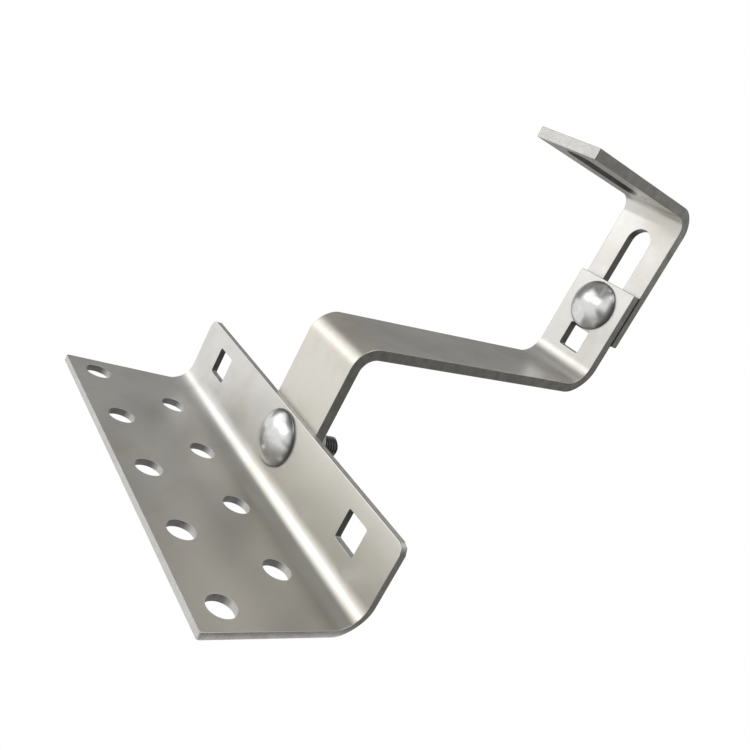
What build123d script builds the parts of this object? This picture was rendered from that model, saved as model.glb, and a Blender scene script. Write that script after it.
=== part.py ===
"""Height-adjustable solar roof hook.

A folded base plate is screwed to the roof. A bent flat-bar arm is bolted to its flange, and a
slotted top bracket is clamped to the arm's upper leg, so the rail's height can be set.

Frame: millimetres, +Z up. The origin is on the underside of the base plate, midway between the
two rows of screw holes and midway along the plate. +X points from the plate towards the flange
and on along the arm. +Y runs along the plate.
"""
import os
from math import cos, radians, sqrt, tan

from build123d import *

# ---- Driving dimensions ----

# base plate: one folded sheet, a foot that lies on the roof and an upright flange
base_length = 147.0
base_width = 53.0
base_thickness = 2.5
base_bend_radius = 8.0
flange_height = 32.0
flange_face_x = 30.0
flange_corner_radius = 3.0
foot_corner_radius = 1.0

# screw holes in the foot: an outer row, and an inner row with one hole fewer between its holes
screw_hole_diameter = 9.4
screw_row_spacing = 25.7
screw_end_distance = 9.5
outer_row_count = 5

# square holes, for the necks of the carriage bolts
square_hole_side = 10.5
square_corner_radius = 0.8
flange_hole_drop = 11.1
flange_hole_end_distance = 20.6

# the arm and the top bracket are cut from bar of one width
bar_width = 30.0

# arm: a flat bar with a lower leg, a sloping run and an upper leg
arm_thickness = 4.0
arm_rise = 44.9
arm_reach = 113.0
arm_slope = 5.5
arm_upper_leg = 41.5
arm_lower_bend_radius = 5.8
arm_upper_bend_radius = 9.0
arm_hole_end_distance = 11.2
arm_hole_pitch = 15.0

# top bracket: a flat bar folded to a right angle, with a slot in each leg
bracket_thickness = 4.0
bracket_height = 60.0
bracket_reach = 68.5
bracket_bend_radius = 5.5
slot_width = 11.2
height_slot_length = 41.4
height_slot_end_distance = 5.4
rail_slot_length = 47.0
rail_slot_end_distance = 4.6
rise_left = 1.5

# carriage bolts, nuts and washers, all of one thread size
bolt_diameter = 8.0
bolt_length = 25.0
bolt_tip_chamfer = 1.0
head_diameter = 20.6
head_height = 4.9
head_rim = 0.7
neck_side = 8.3
neck_relief = 0.2
nut_across_flats = 13.0
nut_height = 6.5
nut_chamfer_angle = 30.0
washer_diameter = 16.0
washer_bore = 8.4
washer_thickness = 1.6
spring_washer_diameter = 14.8
spring_washer_bore = 8.3
spring_washer_thickness = 2.0
spring_washer_gap = 1.2
spring_washer_slant = 20.0
thread_clearance = 0.05
edge_break = 0.3

# ---- Places worked out from the driving dimensions ----

base_half_length = base_length / 2
free_edge_x = flange_face_x - base_width
flange_hole_z = flange_height - flange_hole_drop
flange_hole_y = base_half_length - flange_hole_end_distance
screw_pitch = (base_length - 2 * screw_end_distance) / (outer_row_count - 1)

slope = tan(radians(arm_slope))
arm_back_x = flange_face_x + arm_thickness
upper_face_x = flange_face_x + arm_reach
upper_back_x = upper_face_x + arm_thickness
run_top_z = flange_hole_z + arm_rise
run_drop = arm_thickness / cos(radians(arm_slope))
arm_top_z = run_top_z + slope * arm_reach + arm_upper_leg
arm_foot_z = flange_hole_z - arm_hole_end_distance
upper_bolt_z = arm_top_z - arm_hole_end_distance

bracket_back_x = upper_back_x + bracket_thickness
bracket_end_x = bracket_back_x - bracket_reach
height_slot_z = upper_bolt_z - bolt_diameter / 2 - rise_left
bracket_foot_z = height_slot_z - height_slot_end_distance
bracket_top_z = bracket_foot_z + bracket_height

# the neck of a bolt ends just inside the arm, clear of the bracket's slot
neck_length = arm_thickness - neck_relief


def cutter(profile, place, depth):
    """A prism that stands out from a plane by the depth on both sides, for cutting through."""
    return extrude(place * profile, amount=depth, both=True)


def strip(front, front_radii, back, back_radii, width):
    """A bent strip: the area between its two bent side lines, in X and Z, extruded along Y."""
    front_line = FilletPolyline(*front, radius=front_radii)
    back_line = FilletPolyline(*back, radius=back_radii)
    outline = [front_line, back_line, Line(front[0], back[0]), Line(front[-1], back[-1])]
    return extrude(Plane.XZ * make_face(outline), amount=width / 2, both=True)


def square_hole(x, y, z, depth):
    """A cutter for a square hole through an upright wall, with a punch's small corner radius."""
    profile = RectangleRounded(square_hole_side, square_hole_side, square_corner_radius)
    return cutter(profile, Plane((x, y, z), x_dir=(0, 1, 0), z_dir=(1, 0, 0)), depth)


def base_plate():
    """The folded sheet, with its two staggered rows of screw holes and three square holes."""
    skin = [(free_edge_x, 0), (flange_face_x, 0), (flange_face_x, flange_height)]
    inner_x = flange_face_x - base_thickness
    lining = [(free_edge_x, base_thickness), (inner_x, base_thickness), (inner_x, flange_height)]
    outer_radius = base_bend_radius + base_thickness
    plate = strip(skin, outer_radius, lining, base_bend_radius, base_length)

    across_flange = plate.edges().filter_by(Axis.X).group_by(Axis.Z)[-1]
    plate = fillet(across_flange, flange_corner_radius)
    across_foot = plate.edges().filter_by(Axis.Z).group_by(Axis.X)[0]
    plate = fillet(across_foot, foot_corner_radius)

    row_x = screw_row_spacing / 2
    places = [(-row_x, y) for y in row_places(outer_row_count)]
    places += [(row_x, y) for y in row_places(outer_row_count - 1)]
    for x, y in places:
        plate -= cutter(Circle(screw_hole_diameter / 2), Plane((x, y, 0)), 2 * base_thickness)
    for y in (-flange_hole_y, 0, flange_hole_y):
        plate -= square_hole(flange_face_x, y, flange_hole_z, 2 * base_thickness)
    return plate


def row_places(count):
    """The places along Y of a row of screw holes, centred on the plate."""
    return [(i - (count - 1) / 2) * screw_pitch for i in range(count)]


def arm():
    """The bent bar, with one square hole in its lower leg and two in its upper leg."""
    front = [
        (flange_face_x, arm_foot_z),
        (flange_face_x, run_top_z),
        (upper_face_x, run_top_z + slope * arm_reach),
        (upper_face_x, arm_top_z),
    ]
    back = [
        (arm_back_x, arm_foot_z),
        (arm_back_x, run_top_z - run_drop + slope * arm_thickness),
        (upper_back_x, run_top_z - run_drop + slope * (arm_reach + arm_thickness)),
        (upper_back_x, arm_top_z),
    ]
    front_radii = [arm_lower_bend_radius + arm_thickness, arm_upper_bend_radius]
    back_radii = [arm_lower_bend_radius, arm_upper_bend_radius + arm_thickness]
    bar = strip(front, front_radii, back, back_radii, bar_width)
    bar -= square_hole(flange_face_x, 0, flange_hole_z, 2 * arm_thickness)
    for z in (upper_bolt_z, upper_bolt_z - arm_hole_pitch):
        bar -= square_hole(upper_face_x, 0, z, 2 * arm_thickness)
    return bar


def top_bracket():
    """The folded bar: a slot for the bolt in its upright leg, and one for the rail on top."""
    inner_z = bracket_top_z - bracket_thickness
    skin = [
        (bracket_back_x, bracket_foot_z),
        (bracket_back_x, bracket_top_z),
        (bracket_end_x, bracket_top_z),
    ]
    lining = [(upper_back_x, bracket_foot_z), (upper_back_x, inner_z), (bracket_end_x, inner_z)]
    outer_radius = bracket_bend_radius + bracket_thickness
    bar = strip(skin, outer_radius, lining, bracket_bend_radius, bar_width)

    height_slot = SlotOverall(height_slot_length, slot_width)
    middle_z = height_slot_z + height_slot_length / 2
    upright = Plane((upper_back_x, 0, middle_z), x_dir=(0, 0, 1), z_dir=(1, 0, 0))
    bar -= cutter(height_slot, upright, 2 * bracket_thickness)

    rail_slot = SlotOverall(rail_slot_length, slot_width)
    middle_x = bracket_end_x + rail_slot_end_distance + rail_slot_length / 2
    bar -= cutter(rail_slot, Plane((middle_x, 0, bracket_top_z)), 2 * bracket_thickness)
    return bar


def ring(outer_diameter, bore_diameter, height):
    """A flat ring that stands on the XY plane."""
    return extrude(Circle(outer_diameter / 2) - Circle(bore_diameter / 2), amount=height)


def carriage_bolt():
    """A bolt along +Z whose head rests on the XY plane from below: dome, square neck, shank."""
    head_radius = head_diameter / 2
    dome = [
        Line((0, 0), (head_radius, 0)),
        Line((head_radius, 0), (head_radius, -head_rim)),
        ThreePointArc((head_radius, -head_rim), dome_point(head_radius), (0, -head_height)),
        Line((0, -head_height), (0, 0)),
    ]
    bolt = revolve(Plane.XZ * make_face(dome), axis=Axis.Z)
    shank = Cylinder(bolt_diameter / 2, bolt_length, align=(Align.CENTER, Align.CENTER, Align.MIN))
    bolt += chamfer(shank.edges().group_by(Axis.Z)[-1], bolt_tip_chamfer)
    neck = extrude(RectangleRounded(neck_side, neck_side, square_corner_radius), amount=neck_length)
    return bolt + neck


def dome_point(head_radius):
    """The point of the dome's arc over half the head's radius, seen from the side."""
    sagitta = head_height - head_rim
    dome_radius = (head_radius**2 + sagitta**2) / (2 * sagitta)
    drop = dome_radius - sqrt(dome_radius**2 - (head_radius / 2) ** 2)
    return (head_radius / 2, drop - head_height)


def flat_washer():
    """A plain washer, its rims lightly rounded."""
    washer = ring(washer_diameter, washer_bore, washer_thickness)
    return fillet(washer.edges().filter_by(GeomType.CIRCLE).group_by(SortBy.RADIUS)[-1], edge_break)


def spring_washer():
    """A split spring washer, clamped flat: a ring with a slanted gap."""
    washer = ring(spring_washer_diameter, spring_washer_bore, spring_washer_thickness)
    gap = Box(spring_washer_diameter, spring_washer_gap, 3 * spring_washer_thickness)
    slanted = Rot(spring_washer_slant, 0, 0) * gap
    return washer - Pos(spring_washer_diameter / 2, 0, spring_washer_thickness / 2) * slanted


def hex_nut():
    """A hexagon nut, both ends bevelled from the across-flats circle to the corners."""
    flat_radius = nut_across_flats / 2
    corner_radius = flat_radius / cos(radians(30))
    bevel = (corner_radius - flat_radius) * tan(radians(nut_chamfer_angle))
    side = [
        (0, 0),
        (flat_radius, 0),
        (corner_radius, bevel),
        (corner_radius, nut_height - bevel),
        (flat_radius, nut_height),
        (0, nut_height),
    ]
    blank = revolve(Plane.XZ * make_face(Polyline(*side, close=True)), axis=Axis.Z)
    prism = extrude(RegularPolygon(corner_radius, 6), amount=nut_height)
    bore_radius = bolt_diameter / 2 + thread_clearance
    return (prism & blank) - Cylinder(bore_radius, 3 * nut_height)


def fastening(name, head_x, grip, z):
    """One bolt through a grip of stacked walls, with its washers and nut, named for its place."""

    def along_x(x):
        return Plane((x, 0, z), x_dir=(0, 1, 0), z_dir=(1, 0, 0))

    washer_x = head_x + grip
    spring_x = washer_x + washer_thickness
    nut_x = spring_x + spring_washer_thickness
    return {
        f"{name}_carriage_bolt": along_x(head_x) * carriage_bolt(),
        f"{name}_flat_washer": along_x(washer_x) * flat_washer(),
        f"{name}_spring_washer": along_x(spring_x) * spring_washer(),
        f"{name}_hex_nut": along_x(nut_x) * hex_nut(),
    }


def roof_hook():
    """Every piece of the hook, by name, where it sits when the hook is put together."""
    pieces = {"base_plate": base_plate(), "arm": arm(), "top_bracket": top_bracket()}
    flange_inner_x = flange_face_x - base_thickness
    lower_grip = base_thickness + arm_thickness
    pieces |= fastening("lower", flange_inner_x, lower_grip, flange_hole_z)
    upper_grip = arm_thickness + bracket_thickness
    pieces |= fastening("upper", upper_face_x, upper_grip, upper_bolt_z)
    return pieces


os.makedirs("parts", exist_ok=True)
for node, solid in roof_hook().items():
    export_step(solid, f"parts/{node}.step")
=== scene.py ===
"""Solar roof hook, dressed: a folded base plate, a bent arm, a slotted top bracket, bolts and nuts.

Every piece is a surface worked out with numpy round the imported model's sizes, in metres.
"""
from math import cos, pi, radians, sin, tan

import bmesh
import bpy
import numpy as np
from bpy.props import FloatProperty, FloatVectorProperty, IntProperty, PointerProperty
from mathutils import Matrix, Vector


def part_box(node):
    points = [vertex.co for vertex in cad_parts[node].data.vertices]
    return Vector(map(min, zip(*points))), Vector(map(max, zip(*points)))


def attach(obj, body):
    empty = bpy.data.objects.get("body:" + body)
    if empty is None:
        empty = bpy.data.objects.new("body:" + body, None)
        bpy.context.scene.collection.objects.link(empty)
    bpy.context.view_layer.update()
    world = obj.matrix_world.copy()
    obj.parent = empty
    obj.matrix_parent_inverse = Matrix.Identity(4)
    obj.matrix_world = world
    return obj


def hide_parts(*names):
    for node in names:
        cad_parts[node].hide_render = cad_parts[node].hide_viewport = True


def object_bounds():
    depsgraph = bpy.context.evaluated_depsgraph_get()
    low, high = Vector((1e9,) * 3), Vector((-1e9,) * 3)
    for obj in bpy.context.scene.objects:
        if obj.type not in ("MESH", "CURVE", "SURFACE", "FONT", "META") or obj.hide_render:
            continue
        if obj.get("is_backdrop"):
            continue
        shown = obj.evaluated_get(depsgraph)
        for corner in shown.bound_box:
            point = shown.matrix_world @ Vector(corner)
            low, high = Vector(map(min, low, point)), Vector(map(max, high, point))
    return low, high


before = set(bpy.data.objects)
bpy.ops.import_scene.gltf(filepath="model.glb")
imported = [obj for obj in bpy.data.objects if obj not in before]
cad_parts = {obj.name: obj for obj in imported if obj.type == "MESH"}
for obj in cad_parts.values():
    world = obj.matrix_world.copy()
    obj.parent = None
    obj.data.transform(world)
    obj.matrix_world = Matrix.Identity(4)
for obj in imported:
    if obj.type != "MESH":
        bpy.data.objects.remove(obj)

bl_info = {
    "name": "Solar Roof Hook",
    "version": (1, 0, 0),
    "blender": (4, 5, 0),
    "location": "View3D > Sidebar > Roof Hook",
    "description": "Builds the dressed pieces of a height-adjustable solar roof hook",
    "category": "Add Mesh",
}

MM = 0.001
X, Y, Z = 0, 1, 2
SAME = 1e-9         # places closer than this, in metres, are one place
NONZERO = 1e-12     # keeps a division off zero
PLAIN_STEPS = 4     # steps of the grid over one plain block
HOLE_RINGS = 4      # rings of quads between a block's outline and its hole
RIM_STEPS = 7       # points on each rounding of a rim
HOLE_MARK = 2       # added to how far a point is a cut edge, where the edge is a hole's wall


def length(value, name, description, **options):
    """A length property in metres, given in millimetres."""
    return FloatProperty(
        name=name, description=description, default=value * MM, unit="LENGTH", precision=5, **options
    )


def angle_of(degrees, name, description):
    """An angle property, given in degrees."""
    return FloatProperty(name=name, description=description, default=radians(degrees), subtype="ANGLE")


def count_of(value, name, description):
    """A whole number property."""
    return IntProperty(name=name, description=description, default=value)


def share(value, name, description):
    """A plain number property from 0 to 1."""
    return FloatProperty(name=name, description=description, default=value, min=0.0, max=1.0)


def colour(value, name, description):
    """A linear colour property."""
    return FloatVectorProperty(
        name=name, description=description, default=value, size=3, subtype="COLOR", min=0.0, max=1.0
    )


# ---- Settings ----


class SheetSettings(bpy.types.PropertyGroup):
    """Sizes that the folded base plate, the arm and the top bracket share."""

    edge_round: length(0.18, "Edge round", "Depth of the rounding along every cut edge")
    hole_roll: length(0.16, "Hole roll", "How far the rounding reaches out from the holes")
    square_hole: length(10.5, "Square hole", "Side of the square holes")
    square_corner: length(0.8, "Square corner", "Corner radius of the square holes")
    block: length(9.0, "Block", "Side of a plain block of the surface grid, which takes a few steps")
    hole_steps: count_of(12, "Hole steps", "Steps along each side of a hole's block")
    bend_steps: count_of(28, "Bend steps", "Steps along each bend")
    bulge: length(0.22, "Bulge", "How far a bend's stretched outer side draws in at the bar's edges")


class PlateSettings(bpy.types.PropertyGroup):
    """Sizes of the base plate."""

    thickness: length(2.5, "Thickness", "Thickness of the folded sheet")
    bend: length(8.0, "Bend", "Inside radius of the fold")
    edge_roll: length(0.32, "Edge roll", "How far the rounding reaches in from the sheared edges")
    screw_radius: length(4.7, "Screw hole", "Radius of the screw holes")
    screw_pitch: length(32.0, "Screw pitch", "Distance between the screw holes of a row")
    screw_row: length(12.85, "Screw rows", "Distance of each row of screw holes from the foot's middle line")
    flange_hole: length(20.9, "Flange holes", "Height of the flange's square holes")
    flange_spread: length(52.9, "Flange spread", "Distance of the outer square holes from the middle one")
    flange_corner: length(3.0, "Flange corner", "Corner radius of the flange's top")
    foot_corner: length(0.8, "Foot corner", "Corner radius of the foot")


class ArmSettings(bpy.types.PropertyGroup):
    """Sizes of the bent arm."""

    thickness: length(4.0, "Thickness", "Thickness of the bar")
    rise: length(44.9, "Rise", "Height of the run's upper face over the lower bolt, at the front face")
    slope: angle_of(5.5, "Slope", "Slope of the run")
    lower_bend: length(5.8, "Lower bend", "Inside radius of the lower bend")
    upper_bend: length(9.0, "Upper bend", "Inside radius of the upper bend")
    edge_roll: length(0.35, "Edge roll", "How far the rounding reaches in from the edges")
    corner: length(0.5, "Corner", "Corner radius of the bar's ends")
    top_hole: length(11.2, "Top hole", "Distance of the upper bolt's hole from the arm's top")
    spare_hole: length(26.2, "Spare hole", "Distance of the spare hole from the arm's top")
    hole_block: length(17.0, "Hole block", "Side of the patch of surface round each square hole")


class BracketSettings(bpy.types.PropertyGroup):
    """Sizes of the top bracket."""

    thickness: length(4.0, "Thickness", "Thickness of the bar")
    bend: length(5.5, "Bend", "Inside radius of the fold")
    slot_end: length(5.4, "Slot end", "Distance from the bracket's foot to its upright slot")
    slot_length: length(41.4, "Slot length", "Length of the upright slot")
    slot_radius: length(5.6, "Slot radius", "Half the width of both slots")
    rail_end: length(4.6, "Rail slot end", "Distance from the rail leg's end to its slot")
    rail_length: length(47.0, "Rail slot length", "Length of the rail leg's slot")
    edge_roll: length(0.35, "Edge roll", "How far the rounding reaches in from the edges")
    corner: length(0.5, "Corner", "Corner radius of the bar's ends")
    slot_block: length(18.0, "Slot block", "Width of the patch of surface round each slot")


class FixingSettings(bpy.types.PropertyGroup):
    """Sizes of the bolts, nuts and washers."""

    thread_radius: length(4.0, "Thread radius", "Outer radius of the thread")
    pitch: length(1.25, "Pitch", "Pitch of the thread")
    thread_depth: length(0.70, "Thread depth", "Depth of the thread's groove")
    head_radius: length(10.3, "Head radius", "Radius of the cup head")
    head_height: length(4.9, "Head height", "Height of the cup head")
    head_rim: length(0.7, "Head rim", "Height of the head's upright rim")
    head_round: length(0.3, "Head rounding", "Rounding at both ends of the head's rim")
    neck_side: length(8.3, "Neck side", "Side of the square neck")
    neck_length: length(3.8, "Neck length", "Length of the square neck")
    neck_corner: length(0.8, "Neck corner", "Corner radius of the square neck")
    tip: length(1.0, "Tip", "Bevel at the bolt's tip")
    across_flats: length(13.0, "Across flats", "Width of the nut across its flats")
    nut_clearance: length(0.05, "Nut clearance", "Gap between the thread and the nut's bore")
    nut_mouth: length(0.5, "Nut mouth", "Bevel at both ends of the nut's bore")
    nut_bevel: length(0.15, "Nut bevel", "Bevel on the nut's own edges")
    washer_bore: length(4.2, "Washer bore", "Radius of the washers' bores")
    washer_round: length(0.25, "Washer rounding", "Rounding of the washers' edges")
    spring_gap: length(1.2, "Spring gap", "Width of the spring washer's gap")
    spring_slant: angle_of(20, "Spring slant", "Slant of the spring washer's gap")
    steps: count_of(96, "Steps", "Steps round each fixing")


class FinishSettings(bpy.types.PropertyGroup):
    """Colours and gloss of the metal."""

    sheet: colour((0.700, 0.698, 0.680), "Sheet", "Colour of the rolled faces")
    sheet_warm: colour((0.710, 0.690, 0.622), "Sheet, warm", "Olive tint that the rolled faces drift to")
    sheet_pink: colour((0.740, 0.672, 0.625), "Sheet, pink", "Pinkish mottling of the rolled faces")
    stain: colour((0.47, 0.44, 0.36), "Stain", "Brownish stains on the rolled faces")
    cut: colour((0.58, 0.575, 0.555), "Cut edge", "Bare steel of the cut edges and hole walls")
    # painted shade: the darker colour of the bars' sides
    scale: colour((0.28, 0.277, 0.262), "Scale", "Colour of the painted shade along the bars' sides")
    # painted shade: the darker colour of the plate's sides
    sheared: colour((0.40, 0.395, 0.375), "Sheared", "Colour of the plate's sheared sides")
    # painted shade: the darker colour of the hole walls turned along Y
    punched: colour((0.145, 0.142, 0.135), "Punched walls", "Side walls of the punched holes")
    polish: colour((0.70, 0.70, 0.695), "Polish", "Colour of the polished heads")
    worn: colour((0.82, 0.81, 0.79), "Scratches", "Colour of the fine scratches")
    # painted shade: the colour that darkens the foot towards its fold
    foot_shade_colour: colour((0.30, 0.30, 0.28), "Foot's painted shade", "Colour that the foot turns to near its fold")
    # painted highlight: the lighter colour of the flange towards its near end
    flange_highlight_colour: colour((0.86, 0.85, 0.79), "Flange's painted highlight", "Colour of the flange towards its near end")
    # painted shade: the dark line in the seam of arm and bracket
    seam_shade_colour: colour((0.02, 0.02, 0.02), "Painted seam shade", "Colour of the painted shade in the seam of arm and bracket")
    # painted shade: the heads' rims darken towards their seat
    rim: colour((0.10, 0.10, 0.10), "Head rim", "Colour that the heads' rims turn to at their seat")
    gloss: share(0.32, "Roughness", "Roughness of the rolled faces")
    cut_gloss: share(0.48, "Cut roughness", "Roughness of the sheared edges")


class StageSettings(bpy.types.PropertyGroup):
    """The camera and the floor."""

    azimuth: angle_of(42.033, "Azimuth", "Turn of the view from +Y to +X")
    elevation: angle_of(14.6, "Elevation", "How far the view looks down")
    roll: angle_of(-28.022, "Roll", "Turn of the camera about its own axis")
    lens: FloatProperty(name="Lens", description="Focal length, in millimetres", default=37.64)
    place: FloatVectorProperty(
        name="Place", description="The camera's place", size=3, unit="LENGTH",
        default=(-0.1275, -0.20145, 0.1231),
    )
    floor_gap: length(0.4, "Floor gap", "How far the floor lies under the plate")


class RoofHookSettings(bpy.types.PropertyGroup):
    """All the settings of the roof hook."""

    sheet: PointerProperty(type=SheetSettings)
    plate: PointerProperty(type=PlateSettings)
    arm: PointerProperty(type=ArmSettings)
    bracket: PointerProperty(type=BracketSettings)
    fixing: PointerProperty(type=FixingSettings)
    finish: PointerProperty(type=FinishSettings)
    stage: PointerProperty(type=StageSettings)


# Where the plate's painted shade and painted highlight change along its own axes, in metres: from nothing to
# full
FOOT_BELOW = (0.0054, 0.0042)
NEAR_END = (0.03, -0.03)
TO_FOLD = (-0.014, 0.004)
FROM_FAR_END = (0.060, 0.026)


# ---- Surface grids ----


def grid_faces(rows, columns, closed=False):
    """Quads of a grid of points, row by row. A closed grid joins its last column to its first."""
    index = np.arange(rows * columns).reshape(rows, columns)
    if closed:
        index = np.hstack([index, index[:, :1]])
    a, b = index[:-1, :-1], index[:-1, 1:]
    c, d = index[1:, 1:], index[1:, :-1]
    return np.stack([a, b, c, d], axis=-1).reshape(-1, 4)


def side_steps(straight, radius, steps):
    """Points from one 45 degree point of a rounded rectangle to the next along one of its sides.

    Half a corner's arc, the straight, then half the next arc. Returns how far along the side and
    how far out from the rectangle's middle line each point is, for the side at the outside.
    """
    arc = steps // 2 if straight < SAME else max(3, steps // 4)
    angle = np.linspace(pi / 4, 0, arc + 1)
    lead = np.stack([-straight / 2 - radius * np.sin(angle), radius * (np.cos(angle) - 1)], axis=1)
    middle = np.linspace(-straight / 2, straight / 2, steps - 2 * arc + 1)[1:-1]
    middle = np.stack([middle, np.zeros_like(middle)], axis=1)
    tail = lead[::-1] * [-1, 1]
    if straight < SAME:
        return np.vstack([lead, tail[1:]])
    return np.vstack([lead, middle, tail])


def rounded_loop(half_u, half_v, radius, steps_u, steps_v):
    """A closed loop round a rounded rectangle: its four sides in turn, with their outward normals."""
    sides = []
    for turn in range(4):
        half_along, half_out, steps = (half_v, half_u, steps_v) if turn % 2 else (half_u, half_v, steps_u)
        points = side_steps(2 * (half_along - radius), radius, steps)[:-1]
        past = np.clip(np.abs(points[:, 0]) - (half_along - radius), 0, None)
        lean = np.sign(points[:, 0]) * past / radius
        normal = np.stack([lean, -np.sqrt(1 - lean**2)], axis=1)
        points = np.stack([points[:, 0], -half_out - points[:, 1]], axis=1)
        c, d = cos(turn * pi / 2), sin(turn * pi / 2)
        quarter = np.array([[c, d], [-d, c]])
        sides.append(np.hstack([points @ quarter, normal @ quarter]))
    loop = np.vstack(sides)
    return loop[:, :2], loop[:, 2:]


def outline(us, near, far):
    """A closed loop round a grid: along its first row, up its far side, back and down its near side."""
    return np.vstack([
        np.column_stack([us[:-1], np.full(len(us) - 1, near[0])]),
        np.column_stack([np.full(len(near) - 1, us[-1]), far[:-1]]),
        np.column_stack([us[:0:-1], np.full(len(us) - 1, near[-1])]),
        np.column_stack([np.full(len(near) - 1, us[0]), near[:0:-1]]),
    ])


class Fold:
    """A line of straights and arcs in the XZ plane, measured along its length.

    It runs through corner points, each rounded by an arc that touches both its straights.
    """

    def __init__(self, corners, radii):
        corners = np.asarray(corners, float)
        run = np.diff(corners, axis=0)
        size = np.hypot(*run.T)
        heading = np.arctan2(run[:, 1], run[:, 0])
        turn = (np.diff(heading) + pi) % (2 * pi) - pi
        tangent = np.asarray(radii) * np.tan(np.abs(turn) / 2)
        straight = size - np.r_[0, tangent] - np.r_[tangent, 0]
        place, self.pieces, at = corners[0], [], 0.0
        for i, distance in enumerate(straight):
            self.pieces.append((at, place, heading[i], 0.0))
            at += distance
            place = place + distance * np.array([cos(heading[i]), sin(heading[i])])
            if i < len(turn):
                bend = np.sign(turn[i]) / radii[i]
                self.pieces.append((at, place, heading[i], bend))
                at += abs(turn[i]) * radii[i]
                place = corners[i + 1] + tangent[i] * run[i + 1] / size[i + 1]
        self.length = at
        self.starts = np.array([piece[0] for piece in self.pieces])
        self.breaks = list(self.starts) + [at]

    def at(self, along):
        """Place, heading and curvature at each distance along the line.

        On a straight the place moves on along the heading. On an arc it moves by the difference
        of the sines and cosines of the headings at its two ends, over the curvature.
        """
        index = np.clip(np.searchsorted(self.starts, along + NONZERO, side="right") - 1, 0, None)
        start = self.starts[index]
        place = np.array([piece[1] for piece in self.pieces])[index]
        heading = np.array([piece[2] for piece in self.pieces])[index]
        bend = np.array([piece[3] for piece in self.pieces])[index]
        on = along - start
        end = heading + bend * on
        safe = np.where(bend == 0, 1.0, bend)
        east = np.where(bend == 0, on * np.cos(heading), (np.sin(end) - np.sin(heading)) / safe)
        north = np.where(bend == 0, on * np.sin(heading), (np.cos(heading) - np.cos(end)) / safe)
        return place[:, 0] + east, place[:, 1] + north, end, bend


def split(breaks, largest, fixed):
    """Steps between neighbouring breaks: fixed where a hole or a bend needs it, else by size."""
    counts = []
    for i, (low, high) in enumerate(zip(breaks, breaks[1:])):
        counts.append(fixed.get(i) or max(1, round((high - low) / largest * PLAIN_STEPS)))
    return counts


def between(breaks, value):
    """The index of the span of breaks that holds a value."""
    return int(np.searchsorted(breaks, value)) - 1


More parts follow.
